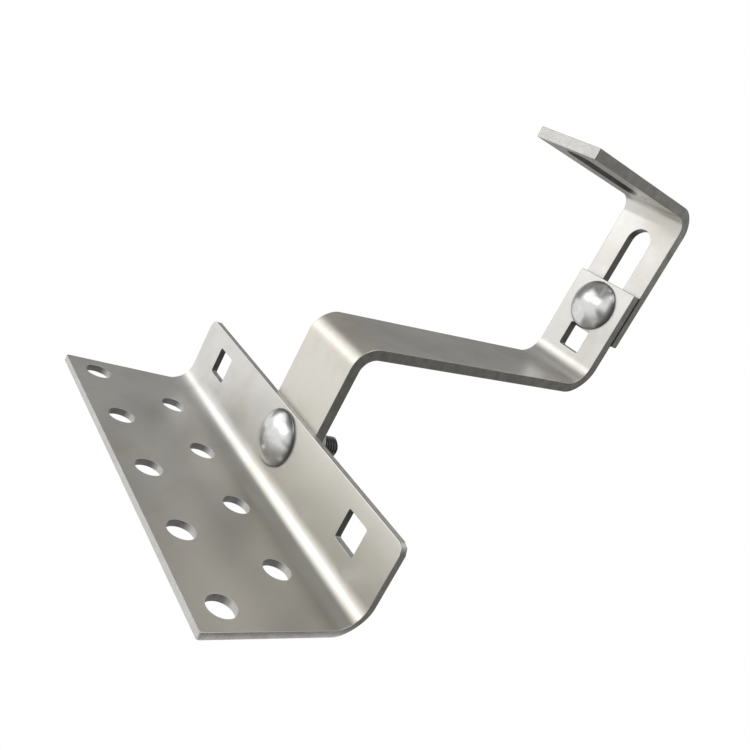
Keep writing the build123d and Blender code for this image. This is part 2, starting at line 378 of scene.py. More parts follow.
class Strip:
    """A strip of sheet in its flat state: along, across and outwards from its middle plane.

    The flat strip is a grid of blocks. A block with a hole is a ring of quads from the block's
    outline to the hole's. The corners are drawn in so that squares about a corner's centre
    become circles. Both faces are joined by a rim: a quarter round, a wall and a quarter round.
    """

    def __init__(self, length_along, width, own, sheet, corners):
        self.along, self.width, self.half = length_along, width, own.thickness / 2
        self.round, self.roll, self.sheet = sheet.edge_round, own.edge_roll, sheet
        self.corners = corners
        self.points, self.normals, self.faces, self.cut, self.count = [], [], [], [], 0

    def add(self, points, normals, faces, cut):
        """Keeps one patch of points, with its normals, its quads and how far it is a cut edge."""
        self.points.append(points)
        self.normals.append(normals)
        self.cut.append(cut)
        self.faces.append(faces + self.count)
        self.count += len(points)

    def skin(self, flat, faces):
        """Adds a patch of the flat pattern to both faces of the strip."""
        flat = self.draw_in(flat)
        for sign in (1, -1):
            points = np.column_stack([flat, np.full(len(flat), sign * self.half)])
            normals = np.tile([0.0, 0.0, float(sign)], (len(flat), 1))
            self.add(points, normals, faces if sign > 0 else faces[:, ::-1], np.zeros(len(flat)))

    def corner_reach(self, flat):
        """For the corners at each end: the way out, their centres' place, and how far past it points are."""
        for way, radius in zip((-1, 1), self.corners):
            middle = radius if way < 0 else self.along - radius
            inner = self.width / 2 - radius
            yield way, middle, inner, (flat[:, 0] - middle) * way, np.abs(flat[:, 1]) - inner

    def draw_in(self, flat):
        """Draws the points of each corner in, from squares about its centre to circles."""
        flat = flat.copy()
        for way, middle, inner, past, over in self.corner_reach(flat):
            inside = (past > SAME) & (over > SAME)
            reach = np.maximum(np.hypot(past, over), NONZERO)
            scale = np.where(inside, np.maximum(past, over) / reach, 1.0)
            flat[:, 0] = np.where(inside, middle + past * scale * way, flat[:, 0])
            flat[:, 1] = np.where(inside, np.sign(flat[:, 1]) * (inner + over * scale), flat[:, 1])
        return flat

    def rim(self, loop, outward, sign, roll):
        """Adds the wall along a closed loop, between two quarter ellipses.

        Outward points from the metal into the open. The sign is 1 on the strip's own outline and
        -1 round a hole. An ellipse's normal leans by the sine of the angle over its half axis
        along the face, and the cosine over its half axis through the sheet.
        """
        turn = np.linspace(0, pi / 2, RIM_STEPS)
        lip_out, lip_in = np.sin(turn) / roll, np.cos(turn) / self.round
        size = np.hypot(lip_out, lip_in)
        lip_out, lip_in = lip_out / size, lip_in / size
        lip_up = self.half - self.round + self.round * np.cos(turn)
        out = np.r_[np.sin(turn), 1, np.sin(turn[::-1])] * roll
        up = np.r_[lip_up, 0, -lip_up[::-1]]
        tilt = np.r_[lip_in, 0, -lip_in[::-1]]
        lean = np.r_[lip_out, 1, lip_out[::-1]]
        rows, columns = len(out), len(loop)
        flat = loop[None] + out[:, None, None] * outward[None]
        side = lean[:, None, None] * outward[None]
        points = np.dstack([flat, np.repeat(up[:, None], columns, 1)]).reshape(-1, 3)
        normals = np.dstack([side, np.repeat(tilt[:, None], columns, 1)]).reshape(-1, 3)
        faces = grid_faces(rows, columns, closed=True)
        cut = np.repeat(lean, columns) + (0 if sign > 0 else HOLE_MARK)
        self.add(points, normals, faces[:, ::-1] if sign > 0 else faces, cut)

    def build(self, breaks_u, breaks_v, holes, bend_blocks, upper_v=None):
        """Fills the strip: blocks between the breaks, holes as (along, across, half, half, radius).

        Past the first bend the breaks across may stand elsewhere (upper_v); the bend blends them.
        A slot takes twice the steps of a hole along its length.
        """
        edge, steps = self.roll, self.sheet.hole_steps
        upper_v = breaks_v if upper_v is None else upper_v
        first = bend_blocks[0]
        fixed_u, fixed_v, wide = {i: self.sheet.bend_steps for i in bend_blocks}, {}, {}
        for hole in holes:
            i = between(breaks_u, hole[0])
            j = between(breaks_v if i < first else upper_v, hole[1])
            wide[i, j] = hole
            fixed_u[i] = steps * (2 if hole[2] > 1.5 * hole[3] else 1)
            fixed_v[j] = steps
        places_u = self.places(breaks_u, split(breaks_u, self.sheet.block, fixed_u), edge, self.along - edge)
        counts_v = split(breaks_v, self.sheet.block, fixed_v)
        side = self.width / 2 - edge
        lower = self.places(breaks_v, counts_v, -side, side)
        upper = self.places(upper_v, counts_v, -side, side)
        for i, us in enumerate(places_u):
            mix = np.linspace(0, 1, len(us)) if i == first else np.full(len(us), float(i > first))
            for j, (low, high) in enumerate(zip(lower, upper)):
                if (i, j) in wide:
                    self.hole_block(us, high if i > first else low, wide[i, j])
                else:
                    vs = (1 - mix)[:, None] * low[None] + mix[:, None] * high[None]
                    flat = np.stack([np.repeat(us[:, None], len(low), 1), vs], axis=-1)
                    self.skin(flat.reshape(-1, 2), grid_faces(len(us), len(low)))
        self.outer_rim(places_u, lower, upper)

    @staticmethod
    def places(breaks, counts, first, last):
        """The grid's places along one way, block by block, set in from both ends by the rounding."""
        ends = [first] + list(breaks[1:-1]) + [last]
        return [np.linspace(a, b, n + 1) for a, b, n in zip(ends, ends[1:], counts)]

    def hole_block(self, us, vs, hole):
        """A block with a hole: straight lines from the block's outline to the hole's, in rings."""
        along, across, half_u, half_v, radius = hole
        grown = self.sheet.hole_roll
        steps = len(us) - 1, len(vs) - 1
        loop, out = rounded_loop(half_u + grown, half_v + grown, radius + grown, *steps)
        loop = loop + [along, across]
        mix = np.linspace(0, 1, HOLE_RINGS + 1)[:, None, None]
        rings = (1 - mix) * outline(us, vs, vs)[None] + mix * loop[None]
        self.skin(rings.reshape(-1, 2), grid_faces(HOLE_RINGS + 1, len(loop), closed=True))
        self.rim(loop, -out, -1, grown)

    def outer_rim(self, places_u, lower, upper):
        """The rim along the strip's own outline, which follows the outermost points of the grid."""
        us, vs, far = (np.r_[blocks[0], *[p[1:] for p in blocks[1:]]] for blocks in (places_u, lower, upper))
        square = outline(us, vs, far)
        loop = self.draw_in(square)
        out = np.zeros_like(loop)
        for way, line in enumerate((us, vs)):
            last, first = square[:, way] >= line[-1] - SAME, square[:, way] <= line[0] + SAME
            out[:, way] = last * 1.0 - first * 1.0
        for way, _, _, past, over in self.corner_reach(loop):
            inside = (past > -SAME) & (over > -SAME)
            reach = np.maximum(np.hypot(past, over), NONZERO)
            out[:, 0] = np.where(inside, past / reach * way, out[:, 0])
            out[:, 1] = np.where(inside, over / reach * np.sign(loop[:, 1]), out[:, 1])
        self.rim(loop, out, 1, self.roll)

    def folded(self, fold):
        """The strip carried along a fold line, with its normals.

        In a bend the stretched side draws in at the edges: by the bulge, times the squared sine of
        the way through the bend, times the sixth power of the share of the half width.
        """
        flat, normal = np.vstack(self.points), np.vstack(self.normals)
        along = np.clip(flat[:, 0], 0, self.along)
        x, z, heading, bend = fold.at(along)
        extra = flat[:, 0] - along
        inner = np.clip(np.sign(bend) * flat[:, 2] / self.half, -1, 1)
        swell = np.zeros_like(along)
        for start, stop in zip(fold.breaks[1::2], fold.breaks[2::2]):
            t = np.clip((along - start) / (stop - start), 0, 1)
            swell += np.sin(pi * t) ** 2
        near_edge = np.clip(np.abs(flat[:, 1]) / (self.width / 2), 0, 1) ** 6
        drawn = self.sheet.bulge * swell * (inner - 1) / 2 * near_edge
        y = flat[:, 1] + np.sign(flat[:, 1]) * drawn
        across = np.stack([-np.sin(heading), np.cos(heading)], axis=1)
        forward = np.stack([np.cos(heading), np.sin(heading)], axis=1)
        place = np.stack([x, z], axis=1) + flat[:, 2:3] * across + extra[:, None] * forward
        turned = normal[:, 0:1] * forward + normal[:, 2:3] * across
        points = np.column_stack([place[:, 0], y, place[:, 1]])
        normals = np.column_stack([turned[:, 0], normal[:, 1], turned[:, 1]])
        return points, normals


# ---- Meshes ----


def mesh_piece(name, points, faces, node, body, materials, cut=None, normals=None, crease=None):
    """One piece from its points and quads: doubles merged, faces turned outwards, shaded smooth.

    Cut says how far each point is a cut edge, from 0 to 1, with the hole mark added on a hole's
    wall. Material 0 goes on the rest, 1 on cut edges and 2 on the walls of holes.
    """
    data = bpy.data.meshes.new(name)
    data.from_pydata(points, [], faces.tolist())
    for material in materials:
        data.materials.append(material)
    if cut is not None:
        mark = cut[faces].mean(axis=1)
        hole = mark > HOLE_MARK - 0.5
        index = (mark - HOLE_MARK * hole > 0.5) * np.where(hole, 2, 1)
        data.polygons.foreach_set("material_index", index.astype(np.int32))
    if normals is not None:
        source = data.attributes.new("kept_from", "INT", "POINT")
        source.data.foreach_set("value", np.arange(len(points), dtype=np.int32))
    shape = bmesh.new()
    shape.from_mesh(data)
    bmesh.ops.remove_doubles(shape, verts=shape.verts, dist=0.001 * MM)
    bmesh.ops.recalc_face_normals(shape, faces=shape.faces)
    shape.to_mesh(data)
    shape.free()
    data.shade_smooth()
    if normals is not None:
        settle_normals(data, normals)
    if crease is not None:
        data.set_sharp_from_angle(angle=crease)
    piece = bpy.data.objects.new(name, data)
    bpy.context.collection.objects.link(piece)
    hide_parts(node)
    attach(piece, body)
    return piece


def settle_normals(data, normals):
    """Gives each merged vertex the worked-out normal of the point it was kept from."""
    kept = np.empty(len(data.vertices), np.int32)
    data.attributes["kept_from"].data.foreach_get("value", kept)
    data.attributes.remove(data.attributes["kept_from"])
    data.normals_split_custom_set_from_vertices(normals[kept])


def revolve_rows(loops, places):
    """Points along +X: each row is a closed loop in the YZ plane at its own place along X."""
    count = len(loops[0])
    rows = [np.column_stack([np.full(count, x), loop]) for loop, x in zip(loops, places)]
    points = np.concatenate(rows)
    return points, grid_faces(len(places), count, closed=True)


def arc(middle, radius, start, stop, count):
    """Points on a circle's arc, from one angle to another."""
    angle = np.linspace(start, stop, count)
    return np.column_stack([middle[0] + radius * np.cos(angle), middle[1] + radius * np.sin(angle)])


def bolt_surface(fixing, head_x, middle, tip_x):
    """A cup-head bolt along +X as one grid: dome, rim, underside, square neck, thread and tip.

    Each row is a closed loop of as many points: a circle, or a rounded square for the neck. The
    dome is a cap of a sphere, whose radius is (head radius squared + cap height squared) over
    twice the cap height. In the thread the radius falls from the crest by a rounded V whose phase
    is the place along the bolt over the pitch, less the angle over a full turn, so it winds as a
    helix.
    """
    quarter = fixing.steps // 4

    def circle(radius):
        return rounded_loop(radius, radius, radius, quarter, quarter)[0]

    # the dome, from its pole to the rim, then the rim and its rounding into the underside
    sagitta = fixing.head_height - fixing.head_rim
    dome = (fixing.head_radius**2 + sagitta**2) / (2 * sagitta)
    lip, turned = fixing.head_round, fixing.head_round * 0.6
    radii = np.linspace(1e-5, 1, 26) * (fixing.head_radius - lip * 0.4)
    rise = dome - np.sqrt(dome**2 - radii**2)
    rows = [(r, head_x - fixing.head_height + h) for r, h in zip(radii, rise)]
    top = rows[-1][1]
    rows += [(fixing.head_radius, top + lip * 0.7), (fixing.head_radius, (top + head_x) / 2 + lip * 0.2)]
    rounding = arc((head_x - turned, fixing.head_radius - turned), turned, pi / 2, 0, 5)
    rows += [(r, x) for x, r in rounding]
    loops, places = [circle(r) for r, _ in rows], [x for _, x in rows]

    # the square neck
    half = fixing.neck_side / 2
    neck = rounded_loop(half, half, fixing.neck_corner, quarter, quarter)[0]
    start = head_x + fixing.neck_length
    loops += [neck, neck]
    places += [head_x, start]

    # the thread: a V with a flat crest and root, partly eased, which fades in past the neck
    along = np.r_[np.arange(start, tip_x, fixing.pitch / 12), tip_x]
    base = circle(1.0)
    turn = np.arctan2(base[:, 1], base[:, 0]) / (2 * pi)
    phase = (along[:, None] / fixing.pitch - turn[None]) % 1.0
    wave = np.clip(1.25 * (1 - np.abs(2 * phase - 1) * 1.12) - 0.08, 0, 1)
    wave = wave**2 * (3 - 2 * wave) * 0.35 + wave * 0.65
    fade = np.clip((along - start) / (2 * fixing.pitch), 0, 1)[:, None]
    bevel = np.clip((tip_x - along)[:, None] / fixing.tip, 0, 1)
    limit = fixing.thread_radius - fixing.tip * (1 - bevel)
    radius = np.minimum(fixing.thread_radius - fixing.thread_depth * wave * fade, limit)
    loops += [base * r[:, None] for r in radius]
    places += list(along)

    # the flat tip, closed down to its pole
    for scale in (0.9, 0.5, 1e-5):
        loops.append(base * (fixing.thread_radius - fixing.tip) * scale)
        places.append(tip_x)
    points, faces = revolve_rows(loops, places)
    return points + [0, *middle], faces, (points[:, 0] > start - SAME) * 1.0


def nut_surface(fixing, low_x, high_x, middle):
    """A hexagon nut along +X as one closed ring grid: bore, mouth, cone, flats, cone and mouth.

    Its outer radius at an angle is half the width across flats over the cosine of the angle from
    the middle of the nearest flat. A 30 degree cone trims the corners at both ends.
    """
    angle = np.linspace(0, 2 * pi, fixing.steps, endpoint=False)
    half = fixing.across_flats / 2
    hexagon = half / np.cos(angle % (pi / 3) - pi / 6)
    face = half * 0.96
    trim = np.clip(hexagon - face, 0, None) * tan(radians(30))
    bore = fixing.thread_radius + fixing.nut_clearance
    mouth = bore + fixing.nut_mouth
    rows = (
        (bore, low_x + fixing.nut_mouth), (mouth, low_x), (face, low_x), (hexagon, low_x + trim),
        (hexagon, high_x - trim), (face, high_x), (mouth, high_x), (bore, high_x - fixing.nut_mouth),
        (bore, low_x + fixing.nut_mouth),
    )
    even = np.ones(fixing.steps)
    wheel = np.column_stack([np.cos(angle), np.sin(angle)])
    rings = [np.column_stack([even * x, wheel * (even * radius)[:, None]]) for radius, x in rows]
    return np.concatenate(rings) + [0, *middle], grid_faces(len(rows), fixing.steps, closed=True)


def ring_surface(fixing, low_x, high_x, middle, outer, gap=0.0, slant=0.0):
    """A washer along +X: a rounded rectangle carried round the axis, less a slanted slit if it has a gap.

    The slit opens by its width over the mean radius, and turns by the tangent of its slant times
    the place along X, over the mean radius. Its ends are closed by a strip of quads between the
    outline's opposite points.
    """
    half_x, half_r = (high_x - low_x) / 2, (outer - fixing.washer_bore) / 2
    profile = rounded_loop(half_x, half_r, fixing.washer_round, 8, 8)[0]
    mean = (outer + fixing.washer_bore) / 2
    opening = gap / mean
    angle = np.linspace(opening / 2, 2 * pi - opening / 2, fixing.steps + 1)
    turn = angle[:, None] + profile[None, :, 0] * tan(slant) / mean
    radius = mean + profile[:, 1]
    x = np.broadcast_to((low_x + high_x) / 2 + profile[:, 0], turn.shape)
    points = np.stack([x, radius * np.cos(turn), radius * np.sin(turn)], axis=-1).reshape(-1, 3)
    faces = grid_faces(len(angle), len(profile), closed=True)
    if gap:
        count, step = len(profile), np.arange(len(profile) // 2 - 1)
        cap = np.column_stack([step, step + 1, count - 2 - step, count - 1 - step])
        faces = np.vstack([faces, cap, cap[:, ::-1] + (len(angle) - 1) * count])
    return points + [0, *middle], faces


# ---- Materials ----


class Value:
    """A number socket of a node tree. Arithmetic on it adds Math nodes."""

    def __init__(self, paint, socket):
        self.paint, self.socket = paint, socket

    def math(self, operation, *others):
        inputs = {i: other for i, other in enumerate((self, *others))}
        return self.paint.node("ShaderNodeMath", {"operation": operation}, inputs)

    def __add__(self, other):
        return self.math("ADD", other)

    def __mul__(self, other):
        return self.math("MULTIPLY", other)

    def __sub__(self, other):
        return self.math("SUBTRACT", other)

    def __rsub__(self, other):
        return self.math("MULTIPLY_ADD", -1.0, other)

    def __pow__(self, other):
        return self.math("POWER", other)

    __radd__, __rmul__ = __add__, __mul__

    def clamp(self):
        """The value kept between 0 and 1."""
        return self.math("MAXIMUM", 0.0).math("MINIMUM", 1.0)


class Paint:
    """The node tree of a material or a world, built through one method for every kind of node."""

    def __init__(self, owner):
        owner.use_nodes = True
        self.owner, self.tree = owner, owner.node_tree
        self.tree.nodes.clear()

    def node(self, kind, settings=None, inputs=None, output=0):
        """Adds a node: its settings first, then the numbers or links of its sockets."""
        node = self.tree.nodes.new(kind)
        for key, value in (settings or {}).items():
            if key == "stops":
                ramp = node.color_ramp
                for i, (place, grey) in enumerate(value):
                    stop = ramp.elements[i] if i < 2 else ramp.elements.new(place)
                    stop.position, stop.color = place, (grey, grey, grey, 1)
            else:
                setattr(node, key, value)
        for key, value in (inputs or {}).items():
            if isinstance(value, Value):
                self.tree.links.new(value.socket, node.inputs[key])
            else:
                node.inputs[key].default_value = value
        return Value(self, node.outputs[output]) if node.outputs else None

    def place(self, scale=(1, 1, 1)):
        """The piece's own coordinates, stretched."""
        own = self.node("ShaderNodeTexCoord", output="Object")
        return self.node("ShaderNodeMapping", inputs={"Vector": own, "Scale": scale})

    def ramp_along(self, axis, start, stop):
        """A smooth step from 0 to 1 between two places along one of the piece's own axes."""
        own = self.node("ShaderNodeTexCoord", output="Object")
        place = self.node("ShaderNodeSeparateXYZ", inputs={0: own}, output=axis)
        span = {"Value": place, "From Min": start, "From Max": stop}
        return self.node("ShaderNodeMapRange", {"interpolation_type": "SMOOTHSTEP"}, span)

    def noise(self, scale, stretch=(1, 1, 1), detail=3.0, rough=0.5):
        """Noise with its mean at a half, in cycles per metre; a stretch under 1 draws it out that way."""
        inputs = {"Vector": self.place(stretch), "Scale": scale, "Detail": detail, "Roughness": rough}
        return self.node("ShaderNodeTexNoise", inputs=inputs)

    def mix(self, factor, first, second):
        """One colour turning into another, by the Mix node's colour sockets: 0, 6 and 7 in, 2 out."""
        inputs = {0: factor, 6: first, 7: second}
        return self.node("ShaderNodeMix", {"data_type": "RGBA"}, inputs, output=2)

    def finish(self, inputs, height=None, strength=0.2, distance=0.0002):
        """The surface itself, with its bump."""
        if height is not None:
            bump = {"Height": height, "Strength": strength, "Distance": distance}
            inputs["Normal"] = self.node("ShaderNodeBump", inputs=bump)
        shader = self.node("ShaderNodeBsdfPrincipled", inputs=inputs)
        self.node("ShaderNodeOutputMaterial", inputs={"Surface": shader})
        return self.owner


def fresh_paint(name):
    """A new material's node tree, or None if the material is there already."""
    if name in bpy.data.materials:
        return None
    return Paint(bpy.data.materials.new(name))


def rgb(values, scale=1.0):
    """A colour with its alpha."""
    return tuple(value * scale for value in values) + (1.0,)


def rolled_metal(name, finish, grain, axis, cool, warm, again=None, matt=0.0, painted_foot_shade=0.0):
    """Cold-rolled steel: a faint grain one way, cloudy mottling and a few fine scratches.

    Along one axis its tint turns from cool to warm, and a second time where again says. Matt is
    how much rougher it is than the plate. The last argument is how much painted shade darkens the
    plate's foot towards its fold and at its near end; the foot is rougher too. With it a painted
    highlight lightens the flange towards its near end.
    """
    paint = fresh_paint(name)
    if paint is None:
        return bpy.data.materials[name]
    cloud = paint.noise(60, detail=4)
    streak = paint.noise(900, grain, 3, 0.6)
    fine = paint.noise(4200, detail=2, rough=0.6)
    scratch = paint.noise(1300, (0.04, 1, 0.35), 2, 0.75)
    worn = paint.node("ShaderNodeValToRGB", {"stops": ((0.66, 0.0), (0.75, 1.0))}, {"Fac": scratch})

    # the tint: cool to warm, pinkish patches, brown stains, the grain's lines, then the scratches
    drift = paint.ramp_along(axis, cool, warm)
    if again:
        drift = drift + paint.ramp_along(axis, *again) * 0.26
    base = paint.mix((cloud * 1.2 - 0.6 + drift).clamp(), rgb(finish.sheet), rgb(finish.sheet_warm))
    patch = paint.noise(85, (1, 1, 0.5))
    patch = ((patch * 4.0 - 1.8) * (drift * 0.75 + 0.15)).clamp()
    base = paint.mix(patch, base, rgb(finish.sheet_pink))
    stain = paint.noise(38, detail=5, rough=0.6)
    base = paint.mix((stain * 5.0 - 2.35).clamp() * 0.36, base, rgb(finish.stain))
    base = paint.mix((streak * 2.0 - 0.7).clamp() * 0.12, base, rgb(finish.sheet, 0.72))
    base = paint.mix(worn * 0.10, base, rgb(finish.worn))
    gloss = finish.gloss + cloud * 0.10 + streak * 0.07 + (matt - 0.08)
    if painted_foot_shade:
        # painted shade: the foot darkens towards its fold and at its near end, and is rougher
        foot = paint.ramp_along(Z, *FOOT_BELOW)
        near = paint.ramp_along(Y, *NEAR_END)
        reach = paint.ramp_along(X, *TO_FOLD) * paint.ramp_along(Y, *FROM_FAR_END) + near * 0.65
        base = paint.mix(foot * reach * painted_foot_shade, base, rgb(finish.foot_shade_colour))
        # painted highlight: above the foot, the fold and flange turn lighter towards the near end
        base = paint.mix((1 - foot) * near * 0.6, base, rgb(finish.flange_highlight_colour))
        gloss = gloss + foot * 0.12
    height = fine * 0.5 + streak * 0.6 + worn * 0.15
    inputs = {"Base Color": base, "Metallic": 0.94, "Roughness": gloss}
    return paint.finish(inputs, height, 0.16, 0.06 * MM)


def cut_metal(name, finish, scale, seam=None):
    """Sheared edges, torn in fine upright ribs: bright at the ends, painted darker along the sides as painted
    shade.

    A seam is a place along X and a lowest and highest Z, where the edge is darkened with painted shade.
    """
    paint = fresh_paint(name)
    if paint is None:
        return bpy.data.materials[name]
    ribs = paint.noise(1700, (1, 1, 0.3), 4, 0.75)
    pits = paint.noise(3500, rough=0.7)
    patch = paint.noise(250)
    speck = paint.noise(2600, detail=2, rough=0.8)
    tone = (ribs * 0.6 + patch * 0.6 + speck * 0.9 - 0.55).clamp()
    # painted shade: faces turned along Y, the sides, take the darker colour
    facing = paint.node("ShaderNodeTexCoord", output="Normal")
    side = paint.node("ShaderNodeSeparateXYZ", inputs={0: facing}, output=Y).math("ABSOLUTE")
    ends = paint.mix(tone, rgb(finish.cut, 0.75), rgb(finish.cut, 1.25))
    sides = paint.mix(tone, rgb(scale, 0.45), rgb(scale, 1.6))
    base = paint.mix((side * 2.0 - 0.7).clamp(), ends, sides)
    if seam:
        middle, low, high = seam
        wide, narrow, soft = 0.8 * MM, 0.5 * MM, 0.5 * MM
        near = paint.ramp_along(X, middle - wide, middle - narrow)
        near = near * paint.ramp_along(X, middle + wide, middle + narrow)
        level = paint.ramp_along(Z, low - soft, low) * paint.ramp_along(Z, high + soft, high)
        # painted shade: the edge darkens along the seam where arm and bracket touch
        base = paint.mix(near * level * 0.92, base, rgb(finish.seam_shade_colour))
    gloss = finish.cut_gloss + pits * 0.15 - 0.05
    inputs = {"Base Color": base, "Metallic": 1.0, "Roughness": gloss}
    return paint.finish(inputs, ribs + pits * 0.8, 0.45, 0.12 * MM)


def bright_metal(name, finish, tint, gloss, waves, seat=None):
    """Polished or tumbled fixings: nearly smooth, with a slight waviness from forging.

    Towards its seat, a place along the bolt, a head's rim is darker: painted shade.
    """
    paint = fresh_paint(name)
    if paint is None:
        return bpy.data.materials[name]
    wavy = paint.noise(waves, detail=2)
    fine = paint.noise(3000, rough=0.6)
    smear = paint.noise(350)
    shade, light = rgb(finish.polish, 0.88 * tint), rgb(finish.polish, 1.1 * tint)
    base = paint.mix((smear * 1.6 - 0.4).clamp(), shade, light)
    if seat is not None:
        # painted shade: the head's rim darkens towards its seat
        rim = paint.ramp_along(X, seat - 2.4 * MM, seat - 0.6 * MM)
        base = paint.mix(rim * 0.8, base, rgb(finish.rim))
    rough = gloss + fine * 0.05 + smear * 0.05 - 0.04
    inputs = {"Base Color": base, "Metallic": 1.0, "Roughness": rough}
    return paint.finish(inputs, wavy + fine * 0.1, 0.10, 0.3 * MM)


# ---- Operators ----


def settings():
    """The scene's roof hook settings."""
    return bpy.context.scene.roof_hook


def sheet_materials(finish):
    """The rolled face, the cut edge and the hole walls of the plate."""
    grain = (1, 0.5, 0.08)
    return [
        # the plate's material paints shade on its foot and a highlight on its flange
        rolled_metal("plate_rolled", finish, grain, Y, 0.075, -0.06, painted_foot_shade=0.42),
        cut_metal("plate_cut", finish, finish.sheared),
        cut_metal("hole_cut", finish, finish.punched),
    ]


def bar_materials(finish):
    """The rolled face, the cut edge and the hole walls of the bars, with painted shade where they touch."""
    grain = (0.12, 1, 0.12)
    seam = (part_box("arm")[1].x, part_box("top_bracket")[0].z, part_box("arm")[1].z)
    return [
        rolled_metal("bar_rolled", finish, grain, X, 0.048, 0.034, (0.130, 0.143), matt=0.03),
        cut_metal("bar_cut", finish, finish.scale, seam),
        cut_metal("hole_cut", finish, finish.punched),
    ]


def mirrored(places):
    """Places on one side of the middle, with their mirror images."""
    return [-place for place in reversed(places)] + list(places)


def strip_piece(name, strip, fold, node, body, materials):
    """Carries a filled strip along its fold line and makes it a piece."""
    points, normals = strip.folded(fold)
    cut, faces = np.concatenate(strip.cut), np.vstack(strip.faces)
    return mesh_piece(name, points, faces, node, body, materials, cut, normals)


class ROOFHOOK_OT_base_plate(bpy.types.Operator):
    """Builds the base plate: a foot with nine screw holes, folded up into a flange with three square holes"""

    bl_idname = "roofhook.base_plate"
    bl_label = "Base plate"

    def execute(self, context):
        own = settings()
        sheet, plate = own.sheet, own.plate
        low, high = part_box("base_plate")
        middle = plate.thickness / 2
        radius = plate.bend + middle
        corners = [(low.x, middle), (high.x - middle, middle), (high.x - middle, high.z)]
        fold = Fold(corners, [radius])
        width = high.y - low.y
        strip = Strip(fold.length, width, plate, sheet, (plate.foot_corner, plate.flange_corner))
        round_hole, pitch = plate.screw_radius, plate.screw_pitch
        row, reach = plate.screw_row, -low.x
        holes = [(reach - row, y * pitch, round_hole, round_hole, round_hole) for y in range(-2, 3)]
        holes += [(reach + row, (y + 0.5) * pitch, round_hole, round_hole, round_hole) for y in range(-2, 2)]
        half, side = sheet.square_hole / 2, width / 2
        up, away = fold.length - (high.z - plate.flange_hole), plate.flange_spread
        holes += [(up, y, half, half, sheet.square_corner) for y in (-away, 0.0, away)]
        us = [0, plate.foot_corner, reach, fold.breaks[1], fold.breaks[2]]
        us += [fold.length - plate.flange_corner, fold.length]
        # on the foot a block is half a pitch wide, so the two rows' holes stand in every other one
        near = [0.25 * pitch, 0.75 * pitch, 1.25 * pitch, 1.75 * pitch]
        on_flange = [near[0], near[1], away - 0.25 * pitch, away + 0.25 * pitch]
        lower = mirrored(near + [side - plate.foot_corner, side])
        upper = mirrored(on_flange + [side - plate.flange_corner, side])
        strip.build(us, lower, holes, [3], upper)
        metals = sheet_materials(own.finish)
        strip_piece("base_plate_skin", strip, fold, "base_plate", "hook", metals)
        return {"FINISHED"}


class ROOFHOOK_OT_arm(bpy.types.Operator):
    """Builds the arm: a flat bar bent twice, with one square hole below and two above"""

    bl_idname = "roofhook.arm"
    bl_label = "Arm"

    def execute(self, context):
        own = settings()
        sheet, arm, bolt_z = own.sheet, own.arm, own.plate.flange_hole
        low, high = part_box("arm")
        half = arm.thickness / 2
        rise = tan(arm.slope)
        face_z = bolt_z + arm.rise
        drop = half / cos(arm.slope)
        start, stop = low.x + half, high.x - half
        corners = [(start, low.z), (start, face_z + rise * half - drop)]
        corners += [(stop, face_z + rise * (stop - low.x) - drop), (stop, high.z)]
        fold = Fold(corners, [arm.lower_bend + half, arm.upper_bend + half])
        width = high.y - low.y
        strip = Strip(fold.length, width, arm, sheet, (arm.corner, arm.corner))
        hole = sheet.square_hole / 2
        below = bolt_z - low.z
        above = [fold.length - arm.spare_hole, fold.length - arm.top_hole]
        holes = [(u, 0.0, hole, hole, sheet.square_corner) for u in [below] + above]
        b = fold.breaks
        us = [0, arm.corner, below + arm.hole_block / 2, b[1], b[2], b[3], b[4]]
        us += [(above[0] + above[1]) / 2, fold.length - arm.corner, fold.length]
        vs = mirrored([arm.hole_block / 2, width / 2 - arm.corner, width / 2])
        strip.build(us, vs, holes, [3, 5])
        strip_piece("arm_bar", strip, fold, "arm", "hook", bar_materials(own.finish))
        return {"FINISHED"}


class ROOFHOOK_OT_top_bracket(bpy.types.Operator):
    """Builds the top bracket: a folded flat bar with a long slot in each leg"""

    bl_idname = "roofhook.top_bracket"
    bl_label = "Top bracket"

    def execute(self, context):
        own = settings()
        sheet, bracket = own.sheet, own.bracket
        low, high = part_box("top_bracket")
        half = bracket.thickness / 2
        corners = [(high.x - half, low.z), (high.x - half, high.z - half), (low.x, high.z - half)]
        fold = Fold(corners, [bracket.bend + half])
        width = high.y - low.y
        strip = Strip(fold.length, width, bracket, sheet, (bracket.corner, bracket.corner))
        radius = bracket.slot_radius
        reach = bracket.slot_length / 2
        upright = bracket.slot_end + reach
        rail_reach = bracket.rail_length / 2
        rail = fold.length - bracket.rail_end - rail_reach
        holes = [(upright, 0.0, reach, radius, radius), (rail, 0.0, rail_reach, radius, radius)]
        us = [0, bracket.corner, fold.breaks[1], fold.breaks[2]]
        us += [fold.length - bracket.corner, fold.length]
        vs = mirrored([bracket.slot_block / 2, width / 2 - bracket.corner, width / 2])
        strip.build(us, vs, holes, [2])
        metals = bar_materials(own.finish)
        strip_piece("bracket_bar", strip, fold, "top_bracket", "bracket", metals)
        return {"FINISHED"}


